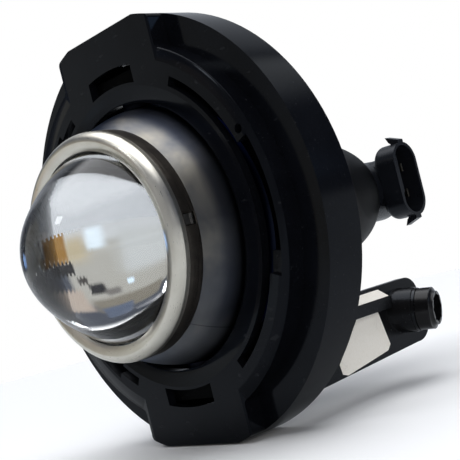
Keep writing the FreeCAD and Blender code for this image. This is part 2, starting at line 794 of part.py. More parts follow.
def bulb_base(frame):
    piece = Piece("bulb_base", frame)
    mid, half = size("plug_depth"), size("plug_half_width")
    tall, wall, lift = size("plug_half_height"), size("plug_wall"), size("plug_lift")
    back, mouth = size("plug_back"), size("plug_mouth")
    centre = (mid, lift)
    piece.pad("YZ", back, mouth, stadium(centre, half, tall))
    piece.soften(2.2, lambda box: box.XMax < back.value + 0.1)
    piece.pad("YZ", 0, back + 2.5, stadium(centre, half - 1.2, tall - 3.6))
    for side in (1, -1):
        end = lift + side * tall
        piece.pad("XZ", mid - size("hook_half"), mid + size("hook_half"), outline([
            (mouth, end - side), (mouth, end + side * 0.9), (mouth - 4.8, end + side * 2.6),
            (mouth - 3.9, end + side * 0.7), (mouth - 2.2, end - side)]))
    neck, bore = size("tail_radius"), size("tail_bore") - 0.1
    start, finish = size("tail_end") + 0.2, size("neck_end")
    piece.turn([(0, 86), (bore, 86), (bore, 89.6), (bore - 1, 89.6), (bore - 1, 91.4), (bore, 91.4),
                (bore, start), (neck, start), (neck, finish - 1.5), (neck - 1.5, finish),
                (0, finish)])
    floor = back + size("plug_floor")
    piece.pocket("YZ", floor, mouth, stadium(centre, half - wall, tall - wall))
    fin = mid - half + wall + 1.2
    piece.pad("YZ", floor, mouth - 1.0, stadium((fin, lift - 3.4), Size.of(0.55), Size.of(5.2)))
    piece.pad("YZ", floor, mouth - 1.8, stadium((fin + 1.9, lift + 2.2), Size.of(0.5),
                                                Size.of(6.4)))
    for turn in (90, 210, 330):
        spot = FreeCAD.Rotation(Y, turn)
        key = piece.body.newObject("PartDesign::AdditiveBox", "Key")
        key.Length, key.Width, key.Height = 3.0, 1.8, 2.6
        key.Placement = FreeCAD.Placement(spot.multVec(V(-1.5, 86.2, 6.9)), spot)
        doc.recompute()


def bulb_seal(frame):
    piece = Piece("bulb_seal", frame)
    tube(piece, 89.7, 91.3, size("tail_bore") - 1.1, size("tail_bore") - 0.02)


def bulb_terminals(frame):
    """Two flat blades in the socket."""
    piece = Piece("bulb_terminals", frame)
    mid, floor = size("plug_depth") + 2.6, size("plug_back") + size("plug_floor")
    for height in (-3.4, 5.4):
        piece.pad("YZ", floor, floor + 4.0, box_outline((mid - 0.4, height - 1.4),
                                                        (mid + 0.4, height + 1.4)))


def bulb_cap(frame):
    piece = Piece("bulb_cap", frame)
    radius = size("glass_radius")
    tube(piece, 79, 86, radius + 0.05, radius + 0.65)


def bulb_glass(frame):
    piece = Piece("bulb_glass", frame)
    outer, start, skin = size("glass_radius"), 85.9, 0.8
    nose = 56 + outer
    inner = outer - skin
    piece.turn([(0, 56), (outer, nose), (outer, start), (inner, start), (inner, nose),
                (0, 56 + skin)], {0: outer, 4: -inner})


def bulb_leads(frame):
    piece = Piece("bulb_leads", frame)
    for side in (2.2, -2.2):
        piece.pad("XZ", 66.5, 85.9, circle_outline(0.4, (side, 0)))


def bulb_filament(frame):
    piece = Piece("bulb_filament", frame)
    piece.pad("YZ", -2.8, 2.8, circle_outline(0.7, (65.8, 0)))


# ---------------------------------------------------------------- arm and adjuster


def rear_arm():
    piece = Piece("rear_arm")
    side, thick, end = size("arm_side"), size("arm_thickness"), size("arm_end")
    start = size("flange_depth") + size("wall")
    top, bottom = -size("arm_top"), -size("arm_bottom")
    nose, brow, heel = Size.of(6.5), Size.of(5.0), start + 9.9
    piece.pad("YZ", side - thick, side, outline(
        [(start, top), (start, bottom), (heel, bottom), (heel, bottom - 2.8),
         (end - nose, bottom - 0.4), (end, bottom + 3.4), (end - 1.4, top - brow),
         (end - 1.4 - brow, top)], {4: nose, 6: brow}))
    foot = size("arm_foot")
    piece.pad("XZ", start, start + foot, outline(
        [(side - thick, -39), (40.4, -39), (46, -32), (46, -29.5), (side - thick, -29.5)]))
    add_rib(piece, side, top)
    for spot in ARM_SCREW_SPOTS:
        piece.pocket("XZ", start, start + foot, circle_outline(size("arm_screw"), spot))
    for kind, radius, low, high in (("Additive", "collar_radius", -4.5, 4.4),
                                    ("Subtractive", "bush_radius", -7, 7)):
        barrel = piece.body.newObject("PartDesign::%sCylinder" % kind, "Collar")
        bind(barrel, "Radius", size(radius))
        barrel.Height = high - low
        barrel.Placement = ADJUSTER * FreeCAD.Placement(V(low, 0, 0), ALONG_X)
        doc.recompute()


def add_rib(piece, side, top):
    """The rib along the arm's top edge: a sloped top, and a tapered end."""
    reach, drop, end = size("rib_reach"), size("rib_drop"), size("rib_end")
    piece.pad("XZ", 12.6, end, outline([(side, top - 1.0), (side, top - drop),
                                        (side + reach, top - drop), (side + reach, top - 3.3)]))
    taper = piece.body.newObject("PartDesign::AdditiveWedge", "RibEnd")
    taper.Xmin, taper.Xmax = 0, reach.value
    taper.X2min, taper.X2max = 0, 0.6
    taper.Ymin, taper.Ymax = 0, 4.5
    taper.Zmin, taper.Zmax = 0, drop.value - 3.3
    taper.Z2min, taper.Z2max = 0, 3.0
    taper.Placement = shift(side.value, end.value, (top - drop).value)
    doc.recompute()


def info_label():
    """A thin blank label: a panel on the arm and a strip on the rib's sloped top."""
    piece = Piece("info_label")
    side, top, reach = size("arm_side"), -size("arm_top"), size("rib_reach")
    piece.pad("YZ", side, side + 0.12, outline(
        [(38.4, -34.95), (47.4, -34.95), (49.4, -45.0), (47.8, -46.5), (29.4, -48.9),
         (27.4, -48.2), (27.0, -45.4)]))
    skin = 0.12
    piece.pad("XZ", 24, size("rib_end") - 0.2, outline(
        [(side + 0.1, top - 1.06), (side + reach - 0.1, top - 3.22),
         (side + reach - 0.1, top - 3.22 + skin), (side + 0.1, top - 1.06 + skin)]))


def adjuster_bush():
    piece = Piece("adjuster_bush", ADJUSTER)
    outer, inner = size("bush_radius"), size("journal_radius") + size("running_gap")
    lip = size("adjuster_radius") + 0.2
    piece.spin([(-4.8, inner), (5.3, inner), (5.3, lip), (4.5, lip), (4.5, outer),
                (-4.8, outer)])


def adjuster_screw():
    piece = Piece("adjuster_screw", ADJUSTER)
    outer, journal, thread = size("adjuster_radius"), size("journal_radius"), size("thread_radius")
    end, nut = size("adjuster_end"), size("nut_reach")
    tip, seat = -nut - 10, Size.of(5.5)
    piece.spin([(tip, 0), (tip, thread - 0.8), (tip + 0.8, thread), (-6.2, thread),
                (-6.2, journal), (seat, journal), (seat, outer), (end - 1.2, outer),
                (end, outer - 1.2), (end, 0)], {7: 1.2})
    recess, floor = size("recess_radius"), end - 3.2
    piece.pocket("YZ", floor, end, circle_outline(recess))
    piece.pocket("YZ", floor - 2.5, floor, outline([polar(Size.of(3.0), 30 + 60 * k)
                                                    for k in range(6)]))
    for turn in range(0, 360, 45):
        piece.pocket("YZ", floor, end, circle_outline(Size.of(0.5), polar(recess, turn)))


def retaining_clip():
    piece = Piece("retaining_clip", ADJUSTER)
    thread = size("thread_radius")
    piece.spin([(-7.1, thread), (-6.3, thread), (-6.3, 5.6), (-7.1, 5.6)])


def adjuster_nut():
    """A barrel nut: it rolls between the fork's cheeks as the projector swings."""
    piece = Piece("adjuster_nut", ADJUSTER * shift(-REST_REACH, 0, 0))
    half = size("nut_height") / 2
    piece.pad("XY", -half, half, circle_outline(size("nut_radius")))
    piece.pocket("YZ", -size("nut_radius") - 1, size("nut_radius") + 1,
                 circle_outline(size("thread_radius") + size("running_gap")))


# ---------------------------------------------------------------- assembly

PROJECTOR = FreeCAD.Placement(
    V(), FreeCAD.Rotation(Z, SIZES["rest_swing"]), V(0, SIZES["pivot_depth"], 0))
ADJUSTER = FreeCAD.Placement(
    V(SIZES["arm_side"], SIZES["adjuster_depth"], -SIZES["adjuster_drop"]),
    FreeCAD.Rotation(Z, SIZES["adjuster_yaw"]) * FreeCAD.Rotation(Y, SIZES["adjuster_pitch"]))
FORK = ADJUSTER * shift(-SIZES["nut_reach"], 0, 0)
FORK_TOP = SIZES["nut_height"] / 2 + SIZES["web_gap"] + SIZES["fork_sheet"]
FORK_SCREW = 2.4
LEVER = math.hypot(FORK.Base.x, FORK.Base.y - SIZES["pivot_depth"])
REST_REACH = SIZES["nut_reach"] + LEVER * math.tan(math.radians(SIZES["rest_swing"])) / math.cos(
    math.radians(SIZES["adjuster_pitch"]))

FLANGE_BACK = size("flange_depth") + size("wall")
outer_housing()
pivot_bracket("pivot_bracket_upper", 1)
pivot_bracket("pivot_bracket_lower", -1)
screws("bracket_screws", bracket_screw_spots(), size("small_screw"), Size.of(2.0), size("skin"),
       size("wall") + size("tab_thickness"))
pivot_bushes()
back_ring()
screws("back_ring_screws", post_spots(), size("small_screw"), Size.of(2.2),
       FLANGE_BACK + size("skin"), size("ring_depth") + size("ring_thickness"))
rear_arm()
screws("arm_screws", ARM_SCREW_SPOTS, size("arm_screw"), Size.of(2.3),
       size("flange_depth") + size("skin"), FLANGE_BACK + size("arm_foot"))
info_label()
adjuster_bush()

for maker in (bowl_shell, lens_holder, lens_clip, lens_seal, lens, lens_ring, cutoff_shield,
              shield_rivets, reflector, rear_housing, pivot_pins):
    maker(PROJECTOR)
screws("housing_screws", BOWL_SCREWS, size("bowl_screw"), Size.of(1.9), size("ledge_back") - 3,
       size("ledge_back") + 3.2, PROJECTOR)
adjuster_fork()
fork_screw()

for maker in (bulb_base, bulb_seal, bulb_terminals, bulb_cap, bulb_glass, bulb_leads,
              bulb_filament):
    maker(PROJECTOR)

adjuster_screw()
retaining_clip()
adjuster_nut()

doc.recompute()
for item in doc.Objects:
    if "Invalid" in item.State or "Error" in item.State:
        raise ValueError("%s failed: %s" % (item.Label, item.State))
os.makedirs("parts", exist_ok=True)
for body in PIECES:
    if body.Shape.isNull() or not body.Shape.isValid():
        raise ValueError("%s has no valid shape" % body.Label)
    body.Shape.exportStep("parts/%s.step" % body.Label)
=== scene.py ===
import json
import math

import bpy
from mathutils import Matrix, Vector


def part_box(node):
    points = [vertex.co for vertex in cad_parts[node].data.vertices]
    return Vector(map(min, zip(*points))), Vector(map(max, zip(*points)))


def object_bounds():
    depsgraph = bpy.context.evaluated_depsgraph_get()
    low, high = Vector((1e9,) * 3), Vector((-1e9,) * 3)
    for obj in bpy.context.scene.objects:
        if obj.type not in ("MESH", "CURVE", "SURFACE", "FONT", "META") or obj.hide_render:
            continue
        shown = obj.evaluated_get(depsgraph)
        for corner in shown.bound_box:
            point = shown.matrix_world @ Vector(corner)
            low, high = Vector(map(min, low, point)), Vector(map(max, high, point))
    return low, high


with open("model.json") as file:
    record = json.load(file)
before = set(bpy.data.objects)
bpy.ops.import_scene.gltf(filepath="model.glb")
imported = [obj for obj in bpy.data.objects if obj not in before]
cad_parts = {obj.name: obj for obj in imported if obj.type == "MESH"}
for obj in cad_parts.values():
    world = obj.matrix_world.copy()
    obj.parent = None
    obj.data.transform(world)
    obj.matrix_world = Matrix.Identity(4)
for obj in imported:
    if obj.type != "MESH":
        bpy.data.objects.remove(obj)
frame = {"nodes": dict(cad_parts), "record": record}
CAD_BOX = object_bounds()
JOINTS = {joint["name"]: joint for joint in frame["record"]["behaviour"]["joints"]}

# ---------------------------------------------------------------- camera

AZIMUTH = 47.62
ELEVATION = 0.31
ROLL = -14.16
DISTANCE = 0.274
LOOK_AT = Vector((0.0138, 0.0155, -0.0124))
FOCAL_LENGTH = 78.27
SHIFT = (-0.0098, 0.0754)


def make_camera():
    """A long lens to the lamp's right, level with it and rolled a little.

    The angles are in degrees, the lengths in metres and the focal length in millimetres.
    """
    azimuth, elevation, roll = (math.radians(v) for v in (AZIMUTH, ELEVATION, ROLL))
    back = Vector((math.sin(azimuth) * math.cos(elevation),
                   -math.cos(azimuth) * math.cos(elevation), math.sin(elevation)))
    level = Vector((math.cos(azimuth), math.sin(azimuth), 0))
    right = level * math.cos(roll) + back.cross(level) * math.sin(roll)
    data = bpy.data.cameras.new("camera")
    data.lens = FOCAL_LENGTH
    data.sensor_width = 36
    data.shift_x, data.shift_y = SHIFT
    data.clip_start = 0.01
    data.clip_end = 50
    camera = bpy.data.objects.new("camera", data)
    turn = Matrix((right, back.cross(right), back)).transposed().to_4x4()
    camera.matrix_world = Matrix.Translation(LOOK_AT + back * DISTANCE) @ turn
    bpy.context.collection.objects.link(camera)
    bpy.context.scene.camera = camera


make_camera()

# ---------------------------------------------------------------- node helper


class Graph:
    """A node tree with short ways to add and join nodes."""

    def __init__(self, tree):
        self.nodes = tree.nodes
        self.links = tree.links

    def plug(self, socket, value):
        """Joins a socket to another node's output, or sets its value."""
        if hasattr(value, "is_output"):
            self.links.new(value, socket)
        elif isinstance(value, (tuple, list)) and socket.type == "RGBA":
            socket.default_value = (*value, 1)
        else:
            socket.default_value = value

    def math(self, kind, *values):
        node = self.nodes.new("ShaderNodeMath")
        node.operation = kind
        for socket, value in zip(node.inputs, values):
            self.plug(socket, value)
        return node.outputs[0]

    def hypot(self, first, second):
        """Square root of the sum of two squares."""
        squares = (self.math("MULTIPLY", side, side) for side in (first, second))
        return self.math("SQRT", self.math("ADD", *squares))

    def remap(self, value, low, high, start, end, smooth=False):
        """Straight or smooth change from start at low to end at high, level outside them."""
        node = self.nodes.new("ShaderNodeMapRange")
        node.interpolation_type = "SMOOTHSTEP" if smooth else "LINEAR"
        for socket, number in zip(node.inputs[1:5], (low, high, start, end)):
            socket.default_value = number
        self.links.new(value, node.inputs["Value"])
        return node.outputs["Result"]

    def between(self, value, low, high, soft):
        """1 inside the range and 0 outside it, with soft ends."""
        rise = self.remap(value, low - soft, low + soft, 0, 1, smooth=True)
        fall = self.remap(value, high - soft, high + soft, 1, 0, smooth=True)
        return self.math("MULTIPLY", rise, fall)

    def ramp(self, value, *stops):
        """Colour band through (position, colour) stops."""
        node = self.nodes.new("ShaderNodeValToRGB")
        band = node.color_ramp
        while len(band.elements) < len(stops):
            band.elements.new(0.5)
        for element, (place, color) in zip(band.elements, stops):
            element.position = place
            element.color = (*color, 1)
        self.links.new(value, node.inputs["Fac"])
        return node.outputs["Color"]

    def mix(self, factor, first, second):
        node = self.nodes.new("ShaderNodeMix")
        node.data_type = "RGBA"
        wanted = {"Factor_Float": factor, "A_Color": first, "B_Color": second}
        for socket in node.inputs:
            if socket.identifier in wanted:
                self.plug(socket, wanted[socket.identifier])
        return next(out for out in node.outputs if out.identifier == "Result_Color")

    def split(self, vector):
        node = self.nodes.new("ShaderNodeSeparateXYZ")
        self.links.new(vector, node.inputs[0])
        return node.outputs

    def noise(self, place, scale, detail=3, rough=0.5, twist=0):
        node = self.nodes.new("ShaderNodeTexNoise")
        for name, value in (("Scale", scale), ("Detail", detail), ("Roughness", rough),
                            ("Distortion", twist)):
            node.inputs[name].default_value = value
        self.links.new(place, node.inputs["Vector"])
        return node.outputs["Fac"]


# ---------------------------------------------------------------- studio

TABLE = (0.66, 0.69, 0.72)
ROOM = (0.07, 0.08, 0.105)
CEILING = (2.5, 2.54, 2.62)
BACKDROP = (1.0, 1.0, 1.0)
FLOOR_SEEN = (0.97, 0.97, 0.97)
FLOOR_MIRRORED = (0.6, 0.62, 0.635)
FLOOR_REACH = 0.5
FLOOR_GAP = 0.0005

# Soft cards round the lamp, which the camera itself doesn't see: azimuth from and to, elevation
# from and to, softness of the edges, all in degrees, and colour. Azimuth 0 is straight ahead of
# the lamp and 90 is to its right.
CARDS = (
    # The room that the lens shows.
    (-80, -35, -1, 27, 1.5, (0.47, 0.465, 0.43)),
    (-80, -50, -3, 14, 3.0, (0.62, 0.65, 0.66)),
    (-44, -36, -5, 5, 3.0, (0.56, 0.49, 0.34)),
    (-37, -26, -10, 4, 0.8, (0.36, 0.20, 0.055)),
    (-38, -28, 4.5, 9.5, 0.5, (0.02, 0.019, 0.02)),
    (-41.5, -38, 11.5, 14.5, 0.5, (0.06, 0.055, 0.05)),
    (-45, -41, 15.5, 20.5, 0.5, (0.012, 0.012, 0.014)),
    (-48, -44.5, 19, 22.5, 0.6, (0.2, 0.19, 0.18)),
    (-38, -20, 17, 31, 1.5, (0.52, 0.44, 0.38)),
    (-72, -39, 24, 34, 1.5, (0.25, 0.23, 0.19)),
    (-51, -40, 30, 40, 0.7, (0.12, 0.15, 0.22)),
    (-52.5, -50, 16.5, 19, 0.6, (0.9, 1.1, 1.3)),
    # The rest of the room, which the bowl, the ring, the dome and the plate's edges show.
    (52, 90, -10, 24, 7, (0.32, 0.33, 0.36)),
    (-90, -79, 2, 8, 1.5, (0.8, 1.3, 2.4)),
    (-6, 4, 2, 12, 3, (0.8, 1.4, 2.4)),
    (125, 137, 8, 20, 2, (0.6, 0.9, 1.4)),
    (-24, 46, -4, 38, 8, (0.26, 0.265, 0.28)),
    (150, 176, 36, 52, 6, (0.9, 0.95, 1.0)),
    (-47.8, -44.3, -7, 1.5, 1.0, (0.9, 1.03, 1.14)),  # the window in the lens
    (-178, -100, -2, 50, 8, (0.4, 0.43, 0.48)),
)


def make_world():
    """A dim room with a bright ceiling and soft cards. The camera itself sees a white backdrop."""
    world = bpy.data.worlds.new("studio")
    bpy.context.scene.world = world
    world.use_nodes = True
    g = Graph(world.node_tree)
    facing = g.split(g.nodes.new("ShaderNodeTexCoord").outputs["Generated"])
    to_degrees = math.degrees(1)
    azimuth = g.math("MULTIPLY", to_degrees,
                     g.math("ARCTAN2", facing["X"], g.math("MULTIPLY", facing["Y"], -1)))
    elevation = g.math("MULTIPLY", to_degrees, g.math("ARCSINE", facing["Z"]))
    color = g.mix(g.remap(elevation, -1, 2, 0, 1, smooth=True), TABLE, ROOM)
    color = g.mix(g.remap(elevation, 46, 62, 0, 1, smooth=True), color, CEILING)
    for left, right, low, high, soft, tint in CARDS:
        inside = g.math("MULTIPLY", g.between(azimuth, left, right, soft),
                        g.between(elevation, low, high, soft))
        color = g.mix(inside, color, tint)
    seen = g.nodes.new("ShaderNodeLightPath").outputs["Is Camera Ray"]
    color = g.mix(seen, color, BACKDROP)
    g.links.new(color, g.nodes["Background"].inputs["Color"])


def make_light(name, place, wide, tall, power, color, mirrored=True):
    """A soft panel light aimed at the lamp and hidden from the camera.

    With mirrored=False it lights the lamp but doesn't show in its reflections or through its glass.
    """
    data = bpy.data.lights.new(name, "AREA")
    data.shape = "RECTANGLE"
    data.size, data.size_y = wide, tall
    data.energy = power
    data.color = color
    light = bpy.data.objects.new(name, data)
    light.location = place
    light.rotation_euler = (-place).to_track_quat("-Z", "Y").to_euler()
    light.visible_camera = False
    light.visible_glossy = light.visible_transmission = mirrored
    bpy.context.collection.objects.link(light)


def make_floor(height, reach):
    """A round floor under the lamp: near white to the camera, greyer in the lamp's reflections."""
    count = 128
    rim = [(reach * math.cos(math.tau * i / count), reach * math.sin(math.tau * i / count), height)
           for i in range(count)]
    mesh = bpy.data.meshes.new("floor")
    mesh.from_pydata(rim, [], [tuple(range(count))])
    floor = bpy.data.objects.new("floor", mesh)
    bpy.context.collection.objects.link(floor)
    material = bpy.data.materials.new("pale_floor")
    material.use_nodes = True
    shader = material.node_tree.nodes["Principled BSDF"]
    shader.inputs["Roughness"].default_value = 0.9
    g = Graph(material.node_tree)
    seen = g.nodes.new("ShaderNodeLightPath").outputs["Is Camera Ray"]
    g.plug(shader.inputs["Base Color"], g.mix(seen, FLOOR_MIRRORED, FLOOR_SEEN))
    mesh.materials.append(material)


bpy.context.scene.view_settings.view_transform = "Standard"
make_world()
make_floor(CAD_BOX[0][2] - FLOOR_GAP, FLOOR_REACH)
make_light("key", Vector((-0.086, -0.424, 0.417)), wide=0.085, tall=0.1, power=0.2,
           color=(0.93, 0.97, 1.0))
make_light("fill", Vector((0.75, -0.4, 0.15)), wide=0.5, tall=0.5, power=2.4,
           color=(1.0, 0.97, 0.92), mirrored=False)

# ---------------------------------------------------------------- materials

# The projector's pivot line and the angle that it stands turned by at rest.
PIVOT = Vector((0, JOINTS["aim_swing"]["pos_m"][1], 0))
TWIST_AXIS = Vector(JOINTS["bulb_twist"]["axis"])
REST_TURN = math.atan2(-TWIST_AXIS.x, TWIST_AXIS.y)

# Radii of the plate's opening and of its raised face, and half the width of its ears.
OPENING = 0.0371
SHOULDER = 0.0519
EAR = 0.0215

# The lens's flat back along the projector's axis, its radius and the band's outer radius.
LENS_BACK = -0.0158
LENS_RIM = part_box("lens")[1][2]
BAND_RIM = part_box("lens_holder")[1][2]

# The dome's black neck, along the projector's axis, and the saddle that laps forward from it.
NECK = 0.079
SADDLE_FOOT = 0.078
SADDLE_HEIGHT = 0.001
SADDLE_RADIUS = 0.0109
SADDLE_STRETCH = 0.79

# The bowl's die line, as an angle about the projector's axis.
DIE_LINE = -0.9015

THREAD_LEAD = 0.003
RIB_PITCH = 0.0007
FLUTES = 200

# Depth of the finest grain, in metres.
FINE = 0.00002

MOULD_TINT = (0.8, 0.88, 1)
LACQUER_TINT = (0.3, 0.36, 0.5)


class Finish(Graph):
    """A Principled material under construction."""

    def __init__(self, name):
        self.material = bpy.data.materials.new(name)
        self.material.use_nodes = True
        super().__init__(self.material.node_tree)
        self.shader = self.nodes["Principled BSDF"]
        self.place = self.nodes.new("ShaderNodeTexCoord").outputs["Object"]
        self.normal = None

    def set(self, **values):
        for name, value in values.items():
            self.plug(self.shader.inputs[name.replace("_", " ")], value)

    def moved(self, scale=(1, 1, 1), turn=(0, 0, 0), shift=(0, 0, 0)):
        """Object coordinates stretched, then turned, then shifted."""
        node = self.nodes.new("ShaderNodeMapping")
        node.inputs["Scale"].default_value = scale
        node.inputs["Rotation"].default_value = turn
        node.inputs["Location"].default_value = shift
        self.links.new(self.place, node.inputs["Vector"])
        return node.outputs["Vector"]

    def lamp_axes(self):
        """Coordinates about the projector's own axis: across, along and up, in metres."""
        turn = Matrix.Rotation(-REST_TURN, 3, "Z")
        return self.split(self.moved(turn=(0, 0, -REST_TURN), shift=PIVOT - turn @ PIVOT))

    def bump(self, height, strength, distance=FINE):
        """Relief on top of what the surface has already."""
        node = self.nodes.new("ShaderNodeBump")
        node.inputs["Strength"].default_value = strength
        node.inputs["Distance"].default_value = distance
        self.links.new(height, node.inputs["Height"])
        if self.normal:
            self.links.new(self.normal, node.inputs["Normal"])
        self.normal = node.outputs["Normal"]
        self.links.new(self.normal, self.shader.inputs["Normal"])


def moulded(name, color, rough, mottle=0.25, grain=0.12, ior=1.29, lips=False):
    """Moulded plastic: flow mottling, fine grain, smudges, dust and hairline scratches.

    With lips, the plate rolls off softly towards the opening and towards its outer edge.
    """
    g = Finish(name)
    dark = tuple(v * (1 - mottle) for v in color)
    pale = tuple(v * (1 + mottle) + 0.0006 for v in color)
    flow = g.noise(g.place, 60, 4, 0.6)
    scratch = g.remap(g.noise(g.moved((260, 9000, 700), (0, 0, 0.7)), 1, 2, 0.5), 0.68, 0.74, 0, 1)
    dust = g.remap(g.noise(g.place, 1900, 1, 0.4), 0.72, 0.8, 0, 1)
    body = g.ramp(flow, (0.3, dark), (0.7, pale))
    marks = g.math("MAXIMUM", g.math("MULTIPLY", scratch, 0.5), dust)
    g.set(Base_Color=g.mix(g.math("MULTIPLY", marks, 0.05), body, (0.35, 0.36, 0.38)))
    smudge = g.remap(g.noise(g.place, 28, 5, 0.65, 0.6), 0.35, 0.75, rough * 0.85, rough * 1.35)
    g.set(Roughness=g.math("ADD", smudge, g.math("MULTIPLY", marks, 0.12)))
    g.set(IOR=ior, Specular_Tint=MOULD_TINT)
    g.bump(g.noise(g.place, 2600, 2, 0.5), grain)
    g.bump(g.noise(g.place, 90, 2, 0.5), grain, 0.0001)
    if lips:
        across, along, up = g.split(g.place)
        radius = g.hypot(across, up)
        inner = g.remap(radius, OPENING, OPENING + 0.0045, 0, 1)
        ears = g.remap(g.math("ABSOLUTE", across), EAR - 0.001, EAR + 0.001, 1, 0)
        outer = g.math("MAXIMUM", ears, g.remap(radius, SHOULDER - 0.0035, SHOULDER, 1, 0))
        front = g.remap(along, 0.0001, 0.0002, 1, 0)
        rise = g.math("MULTIPLY", g.math("POWER", inner, 0.6), g.math("POWER", outer, 0.6))
        g.bump(g.math("MULTIPLY", rise, front), 1.0, 0.0013)
    return g.material


def screw_finish(start, along_screw):
    """Black screw whose shank carries a thread."""
    g = Finish("knob_black")
    tilt = along_screw.rotation_difference(Vector((1, 0, 0)))
    along, across, up = g.split(g.moved(turn=tilt.to_euler(), shift=-(tilt @ start)))
    turn = g.math("ARCTAN2", up, across)
    wave = g.math("SINE", g.math("ADD", turn, g.math("MULTIPLY", along, math.tau / THREAD_LEAD)))
    shank = g.remap(g.hypot(across, up), 0.0026, 0.0028, 1, 0)
    g.set(Base_Color=g.ramp(g.noise(g.place, 80, 4, 0.6), (0.3, (0.0034, 0.0034, 0.0038)),
                            (0.7, (0.0056, 0.0056, 0.0062))))
    g.set(Roughness=g.remap(g.noise(g.place, 30, 5, 0.65), 0.35, 0.75, 0.19, 0.3), IOR=1.36)
    g.bump(g.noise(g.place, 2600, 2, 0.5), 0.2)
    g.bump(g.math("MULTIPLY", wave, shank), 1.0, 0.0004)
    return g.material


def dome_finish():
    """Dark grey dome with a black neck that laps over its right side in an uneven line."""
    g = Finish("dome_grey")
    across, along, up = g.lamp_axes()
    flow = g.noise(g.place, 70, 4, 0.6)
    grey = g.ramp(flow, (0.3, (0.0045, 0.0045, 0.005)), (0.7, (0.008, 0.008, 0.0087)))
    black = g.ramp(flow, (0.3, (0.0008, 0.0009, 0.0011)), (0.7, (0.0016, 0.0018, 0.0022)))
    ahead = g.math("MAXIMUM", g.math("SUBTRACT", SADDLE_FOOT, along), 0)
    ahead = g.math("MULTIPLY", ahead, SADDLE_STRETCH)
    above = g.math("SUBTRACT", up, SADDLE_HEIGHT)
    uneven = g.math("MULTIPLY", g.noise(g.place, 160, 2), 0.001)
    reach = g.math("ADD", g.hypot(ahead, above), uneven)
    lap = g.remap(reach, SADDLE_RADIUS - 0.0003, SADDLE_RADIUS + 0.0003, 1, 0, smooth=True)
    saddle = g.math("MULTIPLY", lap, g.remap(across, 0, 0.002, 0, 1))
    neck = g.math("MAXIMUM", saddle, g.remap(along, NECK - 0.0005, NECK + 0.0005, 0, 1))
    g.set(Base_Color=g.mix(neck, grey, black),
          Specular_Tint=g.mix(neck, (1, 1, 1), (0.16, 0.18, 0.2)))
    g.set(Roughness=g.remap(g.noise(g.place, 30, 5, 0.65), 0.3, 0.7, 0.36, 0.5), IOR=1.13)
    g.bump(g.noise(g.place, 2200, 2, 0.5), 0.35)
    return g.material


def metal(name, color, worn, rough, brushed=(1, 1, 1), scratch=0.3):
    """Metal with worn patches and fine scratches, which brushed draws out one way."""
    g = Finish(name)
    patch = g.noise(g.place, 70, 5, 0.6, 0.4)
    g.set(Base_Color=g.ramp(patch, (0.35, worn), (0.65, color)), Metallic=1.0)
    lines = g.noise(g.moved(brushed), 900, 3, 0.6)
    g.set(Roughness=g.remap(lines, 0.3, 0.7, rough * 0.8, rough * 1.3))
    g.bump(lines, scratch)
    return g.material


def bowl_finish():
    """Smoky lacquer over pressed metal, with drawing marks round the axis and a die line.

    Painted shade darkens it towards the opening and just below the middle; a painted reflection
    makes its bottom paler.
    """
    g = Finish("bowl_smoke")
    across, along, up = g.lamp_axes()
    cloud = g.noise(g.place, 38, 4, 0.55, 0.6)
    tone = g.ramp(cloud, (0.34, (0.07, 0.076, 0.095)), (0.5, (0.15, 0.152, 0.158)),
                  (0.66, (0.30, 0.28, 0.24)))
    # Painted shade, darker towards the opening.
    shade = g.remap(along, -0.0078, -0.0045, 0, 0.75, smooth=True)
    tone = g.mix(shade, tone, (0.028, 0.034, 0.055))
    # Painted shade in a band just below the middle.
    painted_shade_band = g.math("MULTIPLY", g.between(up, -0.017, 0.004, 0.006), 0.6)
    tone = g.mix(painted_shade_band, tone, (0.028, 0.03, 0.036))
    # Painted reflection of the floor, paler at the bottom.
    tone = g.mix(g.remap(up, -0.031, -0.022, 0.6, 0, smooth=True), tone, (0.42, 0.43, 0.45))
    # Painted shade behind the plate's opening, inside the housing, near black.
    painted_recess_shade = g.remap(along, -0.003, 0.002, 0, 1, smooth=True)
    tone = g.mix(painted_recess_shade, tone, (0.01, 0.011, 0.016))
    angle = g.math("ARCTAN2", up, across)
    line = g.between(angle, DIE_LINE - 0.0035, DIE_LINE + 0.0035, 0.003)
    tone = g.mix(g.math("MULTIPLY", line, 0.7), tone, (0.012, 0.012, 0.014))
    g.set(Base_Color=tone, Metallic=1.0, Specular_Tint=LACQUER_TINT)
    drawn = g.noise(g.moved((1, 9, 1)), 120, 3, 0.6)
    g.set(Roughness=g.remap(drawn, 0.3, 0.7, 0.33, 0.42))
    g.bump(drawn, 0.06)
    g.bump(g.noise(g.place, 24, 2, 0.5), 0.12, 0.0003)
    return g.material


def band_finish():
    """Dark stained steel with drawing lines that run round the band, and a darker inside."""
    g = Finish("band_steel")
    across, along, up = g.lamp_axes()
    stain = g.noise(g.place, 60, 5, 0.6, 0.6)
    tone = g.ramp(stain, (0.3, (0.12, 0.105, 0.095)), (0.55, (0.24, 0.21, 0.18)),
                  (0.7, (0.46, 0.40, 0.33)))
    inside = g.remap(g.hypot(across, up), BAND_RIM - 0.0016, BAND_RIM - 0.0011, 1, 0)
    g.set(Base_Color=g.mix(inside, tone, (0.02, 0.021, 0.02)), Metallic=1.0)
    wire = g.nodes.new("ShaderNodeCombineXYZ")
    g.links.new(g.math("MULTIPLY", along, 40), wire.inputs["Y"])
    g.links.new(g.math("MULTIPLY", g.split(g.place)["Z"], 0.4), wire.inputs["Z"])
    lines = g.noise(wire.outputs[0], 90, 3, 0.7)
    g.set(Roughness=g.remap(lines, 0.3, 0.7, 0.24, 0.42))
    g.bump(lines, 0.35, 0.00003)
    return g.material


